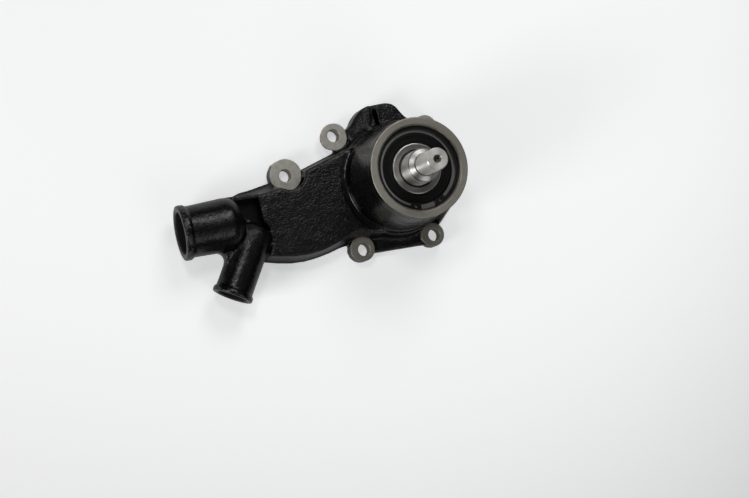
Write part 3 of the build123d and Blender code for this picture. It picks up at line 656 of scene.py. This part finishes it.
# the machined nose of the casting: draft side, outer edge, ring face, chamfer, bore and circlip groove
def makeNoseRing():
    s = noseRing
    slope = math.tan(math.radians(s["draft"]))
    outer, groove = s["outer"], clipZ + s["groove"]
    footIn, footOut = s["foot"]
    sunkDown, sunkIn = s["sunk"]
    corners = [(boreR + footIn, s["low"]), (outer - footOut, s["low"]),
               (outer + sunkDown * slope - sunkIn, noseZ - sunkDown),
               (outer + s["taper"] * slope, noseZ - s["taper"], 0.6), (outer, noseZ, 0.7),
               (boreR + s["chamfer"], noseZ, 0.15), (boreR, noseZ - s["chamfer"], 0.15),
               (boreR, groove, 0.1), (boreR + s["grooveDepth"], groove), (boreR + s["grooveDepth"], clipZ),
               (boreR, clipZ, 0.1), (boreR, s["low"] + 1, 0.2)]
    lathe("noseRing", corners, None, "pump_housing", castIron, s["steps"])


shaftShape = {
    "rear": 1.0, "journal": 7.95, "collar": 15.5, "collarFrom": 28.8, "collarTo": 31.8, "bearingSeat": 12.5,
    "seatEnd": noseZ + 10.5, "steps": 200,
    "cone": ((11.65, 0.85), (8.6, 2.75)), "neck": (8.6, 3.55), "undercut": (7.6, 4.35),    # radius, rise
    "chamfer": 0.7, "drill": ((3.2, 0.0), (1.6, 1.6), (1.6, 3.4)), "drillTip": 5.0,        # radius, depth
}


# the stepped shaft from its rear end to its centre drill, with small broken edges
def makeShaft():
    s = shaftShape
    journal, collar, seat, top = s["journal"], s["collar"], s["bearingSeat"], s["seatEnd"]
    (coneR, coneUp), (footR, footUp) = s["cone"]
    (neckR, neckUp), (cutR, cutUp) = s["neck"], s["undercut"]
    corners = [(0, s["rear"]), (journal, s["rear"], 0.6), (journal, s["collarFrom"], 0.2),
               (collar, s["collarFrom"], 0.4), (collar, s["collarTo"], 0.4), (seat, s["collarTo"], 0.2),
               (seat, top, 0.25), (coneR, top + coneUp, 0.2), (footR, top + footUp, 0.25),
               (neckR, top + neckUp, 0.15), (cutR, top + neckUp, 0.15), (cutR, top + cutUp, 0.15),
               (journal, top + cutUp, 0.1), (journal, shaftEnd - s["chamfer"], 0.2),
               (journal - s["chamfer"], shaftEnd, 0.2)]
    corners += [(r, shaftEnd - down, edge) for (r, down), edge in zip(s["drill"], (0.15, 0.15, 0.1))]
    corners.append((0, shaftEnd - s["drillTip"]))
    lathe("turnedShaft", corners, "shaft", "rotor", shaftFinish(), s["steps"])


frontBearing = {
    "width": 17.0, "bore": 12.52, "shoulder": 18.7,
    "lip": 18.80, "flat": 26.0, "rim": 27.08, "seatDepth": 1.48, "rimDepth": 0.52,
    "ribs": [       # radius, depth under the bearing's face, rounding
        (25.9, 0.52, 0.2), (25.4, 0.24, 0.25), (24.4, 0.22, 0.25), (24.0, 0.62, 0.2), (21.4, 0.66, 0.2),
        (21.0, 0.50, 0.15), (20.4, 0.50, 0.15), (20.0, 0.66, 0.15), (19.4, 0.62, 0.15), (18.80, 0.56, 0.15),
    ],
}


# front bearing as it shows at the nose: inner ring with ground chamfers and a ribbed rubber disc
def makeFrontBearing():
    s = frontBearing
    low, seat = clipZ - s["width"], clipZ - s["seatDepth"]
    bore, shoulder = s["bore"], s["shoulder"]
    inner = [(bore, low, 0.9), (shoulder, low, 0.5), (shoulder, clipZ, 0.7), (bore, clipZ, 1.3)]
    lathe("frontInnerRing", inner, "front_bearing_inner_ring", "rotor", innerRingFinish())
    disc = [(s["lip"], seat), (s["flat"], seat), (s["rim"], seat), (s["rim"], clipZ - s["rimDepth"])]
    disc += [(radius, clipZ - depth, edge) for radius, depth, edge in s["ribs"]]
    lathe("frontSealDisc", disc, "front_bearing_front_seal", "pump_housing", rubber)


padShape = {
    "steps": 120, "edge": 0.3, "flat": 0.3, "skirt": 0.55, "hole": holeR - 0.02, "low": 0.3, "farLow": -0.5,
    "peak": ((-9.8, 9.7), (1.6, 12.9), (9.6, 8.4)),     # corners of the far ear's blunt point
}
facedIron = {"bright": (0.57, 0.555, 0.50), "dull": (0.38, 0.365, 0.315), "paintedShade": (0.22, 0.205, 0.165),
             "rough": 0.44, "paintedShadeFrom": (0, -40)}


# milled marks run round the nearest ear hole: a cloud of the least distance to a hole
def facedFinish():
    f = Finish("faced cast iron", Metallic=0.8)
    away = f.radius     # no ear is nearer the shaft than its own hole
    for hole in earHoles.values():
        away = away.least(f.reach(*hole[:2]))
    arcs = f.noise(0.6, at=f.join(away, f.z * 0.4, 0.0))
    cloud = f.ease(f.noise(5, 4), 0.35, 0.75)
    shade = f.blend(cloud * 0.6 + arcs * 0.2, facedIron["bright"], facedIron["dull"])
    # the pads turn darker towards the lower ears, -y: painted shade
    shade = f.blend(f.ease(f.y, *facedIron["paintedShadeFrom"]) * 0.5, shade, facedIron["paintedShade"])    # lower ears
    pits = f.ease(f.cells(1.4), 0.13, 0.06) * f.ease(f.noise(3), 0.5, 0.62)
    shade = f.blend(pits, shade, castPaint["pit"])
    rough = facedIron["rough"] + cloud * 0.10 + arcs * 0.06
    return f.feed(Base_Color=shade, Roughness=rough, Normal=f.bump(arcs * 0.02 + f.noise(0.8) * 0.03))


# reach from the hole: c.u + root(R^2 - c^2 + (c.u)^2) to the shifted circle, or further to the blunt point
def padReach(name, angles):
    radius, dx, dy = pads[name]
    ux, uy = np.cos(angles), np.sin(angles)
    toward = dx * ux + dy * uy
    reach = toward + np.sqrt(radius ** 2 - dx * dx - dy * dy + toward ** 2)
    if name == "far":
        for (ax, ay), (bx, by) in zip(padShape["peak"], padShape["peak"][1:]):
            ex, ey = bx - ax, by - ay
            across = ux * ey - uy * ex
            across = np.where(np.abs(across) < 1e-9, 1e-9, across)
            distance, share = (ax * ey - ay * ex) / across, (ax * uy - ay * ux) / across
            hit = (distance > 0) & (share >= 0) & (share <= 1)
            reach = np.where(hit, np.maximum(reach, distance), reach)
    return reach


# flat pad with a sharp edge round its drilled hole: rings of reach and height, p = hole + r (cos a, sin a)
def makePad(name, material):
    s = padShape
    edge, skirt = s["edge"], padZ - s["skirt"]
    angles = np.linspace(0, 2 * math.pi, s["steps"], endpoint=False)
    outer, inner = padReach(name, angles), np.full(s["steps"], s["hole"])
    flatOuter, flatInner, flat = outer - edge, inner + edge, s["flat"]
    low = s["farLow"] if name == "far" else s["low"]
    rings = [(outer, skirt), (outer, padZ - edge), (outer - edge * 0.35, padZ - edge * 0.35),
             (flatOuter, padZ), (flatOuter - flat, padZ), (flatInner + flat, padZ), (flatInner, padZ),
             (inner, padZ - edge), (inner, padZ - edge - 0.4), (inner, low), (inner + 0.3, low),
             (inner + 0.6, skirt)]
    x, y = earHoles[name][:2]
    points = [np.stack([x + r * np.cos(angles), y + r * np.sin(angles), np.full(s["steps"], z)], 1)
              for r, z in rings]
    obj = smoothPiece(name + "Pad", np.concatenate(points), bandFaces(len(rings), s["steps"]), material)
    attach(obj, "pump_housing")


faced = facedFinish()
for earName in pads:
    makePad(earName, faced)
makeNoseRing()
makeShaft()
makeFrontBearing()
print("turned pieces done")


studio = {
    "half": 3.5, "cells": 8, "gap": 0.05,
    "floor": (0.80, 0.80, 0.80), "farFloor": (0.72, 0.72, 0.73), "farFrom": (150, 900),
    "seenGlow": 0.45, "rightGlow": 0.12, "rightFrom": (-330, 330), "mirrorGlow": 0.12,
    "floorFall": 0.80, "brightest": (0, 200), "fallFrom": (290, 820),
    "sky": 0.015, "target": (-0.05, 0, 0.03),
    "lights": {     # radiance of each soft panel, its side and its place in metres
        "overhead": {"radiance": 0.10, "size": 1.20, "at": (0.55, -0.05, 1.50)},
        "key": {"radiance": 4.8, "size": 0.50, "at": (0.24, 0.78, 1.04)},
        "streak": {"radiance": 14.0, "size": 0.24, "at": (-0.42, 0.52, 1.25)},
        "front": {"radiance": 1.4, "size": 0.60, "at": (0.22, -0.88, 0.92)},
        "side": {"radiance": 9.5, "size": 0.42, "at": (-1.10, -0.30, 0.52)},
    },
}
view = {
    "lens": 86.5, "sensor": 36.0, "clip": (0.05, 50.0),
    "place": Vector((-0.42498, -0.10905, 1.3084)),
    "back": Vector((-0.29344, -0.04454, 0.95494)), "up": Vector((0.19024, 0.97621, 0.10399)),
}


# flat grid under the part; seen by the camera and in reflections it also glows, less with the distance
def makeFloor():
    s = studio
    line = np.linspace(-s["half"], s["half"], s["cells"] + 1)
    x, y = np.meshgrid(line, line)
    points = np.stack([x, y, np.full_like(x, (floorZ - s["gap"]) * mm)], 2).reshape(-1, 3)
    row = len(line)
    corner = (np.arange(s["cells"])[:, None] * row + np.arange(s["cells"])).ravel()
    mesh = bpy.data.meshes.new("floor")
    mesh.from_pydata(points, [], np.stack([corner, corner + 1, corner + row + 1, corner + row], 1))
    floor = bpy.data.objects.new("floor", mesh)
    bpy.context.scene.collection.objects.link(floor)
    f = Finish("pale studio floor", Roughness=0.9, Specular_IOR_Level=0.0, Emission_Strength=1.0)
    seen, mirrored, passed = (f.make("ShaderNodeLightPath", output=kind)
                              for kind in ("Is Camera Ray", "Is Glossy Ray", "Is Transmission Ray"))
    away = f.ease(f.reach(*s["brightest"]), *s["fallFrom"])
    near = s["seenGlow"] + f.ease(f.x, *s["rightFrom"]) * s["rightGlow"]
    glow = seen.most(passed) * near * (1 - away * s["floorFall"]) + mirrored * s["mirrorGlow"]
    # the floor colour turns darker further out: painted falloff of light
    colour = f.blend(f.ease(f.radius, *s["farFrom"]) * 0.4, s["floor"], s["farFloor"])
    dress(floor, f.feed(Base_Color=colour, Emission_Color=f.join(glow * 0.99, glow, glow * 1.01)))


# matrix of an object whose own +Z points along back: right = up x back, then back x right
def facing(place, back, up):
    back = back.normalized()
    right = up.cross(back).normalized()
    return Matrix.Translation(place) @ Matrix((right, back.cross(right), back)).transposed().to_4x4()


# camera, soft panels that send radiance x pi x side^2 watts, and a faint white sky
def makeStudio():
    camera = bpy.data.objects.new("camera", bpy.data.cameras.new("camera"))
    camera.data.lens, camera.data.sensor_width = view["lens"], view["sensor"]
    camera.data.clip_start, camera.data.clip_end = view["clip"]
    camera.matrix_world = facing(view["place"], view["back"], view["up"])
    bpy.context.scene.collection.objects.link(camera)
    bpy.context.scene.camera = camera
    for name, panel in studio["lights"].items():
        data = bpy.data.lights.new(name, "AREA")
        data.shape, data.size = "SQUARE", panel["size"]
        data.energy = panel["radiance"] * math.pi * panel["size"] ** 2
        lamp = bpy.data.objects.new(name, data)
        place = Vector(panel["at"])
        lamp.matrix_world = facing(place, place - Vector(studio["target"]), Vector((0, 1, 0.1)))
        bpy.context.scene.collection.objects.link(lamp)
    world = bpy.data.worlds.new("studio")
    world.use_nodes = True
    world.node_tree.nodes["Background"].inputs[0].default_value = (1, 1, 1, 1)
    world.node_tree.nodes["Background"].inputs[1].default_value = studio["sky"]
    bpy.context.scene.world = world
    bpy.context.scene.view_settings.view_transform = "Standard"


makeFloor()
makeStudio()
print("studio done")
